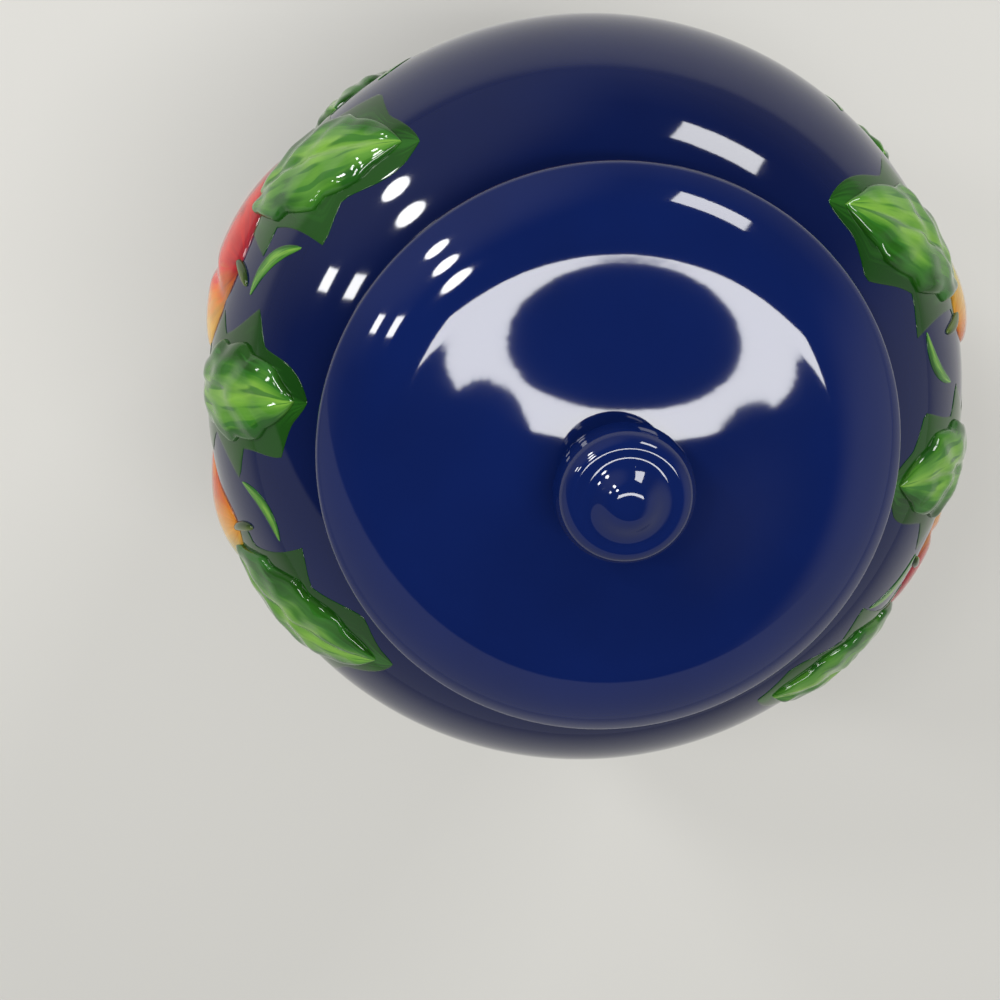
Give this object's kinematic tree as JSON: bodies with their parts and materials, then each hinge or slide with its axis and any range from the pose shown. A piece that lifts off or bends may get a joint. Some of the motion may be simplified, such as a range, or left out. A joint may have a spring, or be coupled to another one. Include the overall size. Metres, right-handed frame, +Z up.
{
  "type": "ceramic biscuit jar with lift-off lid",
  "caption": "Round-shouldered glazed jar with a wide collared mouth, a domed lift-off lid with a ball knob, and fruit and leaf relief.",
  "frame": {"origin": "centre of the foot, on the surface that the jar stands on", "axes": "+Z up along the jar's axis; -Y towards the middle of the front group of fruit"},
  "size_m": [0.203, 0.2052, 0.2647],
  "materials": {
    "blue_glaze": "gloss cobalt glaze",
    "ivory_glaze": "gloss ivory glaze, inside",
    "red_glaze": "gloss painted red",
    "gold_glaze": "gloss painted orange-yellow",
    "berry_glaze": "gloss painted cherry red",
    "green_glaze": "gloss painted green"
  },
  "bodies": {
    "jar": {"jar_body": "blue_glaze", "plum_sprigs": "red_glaze", "pear_sprigs": "gold_glaze", "berry_sprigs": "berry_glaze", "leaf_sprigs": "green_glaze"},
    "lid_body": {"lid": "blue_glaze", "lid_knob": "blue_glaze"}
  },
  "joints": [
    {"name": "lid_lift", "type": "slide", "parent": "jar", "child": "lid_body", "axis": [0.4243, -0.5657, 0.7071], "range_m": [0, 0.1]}
  ]
}
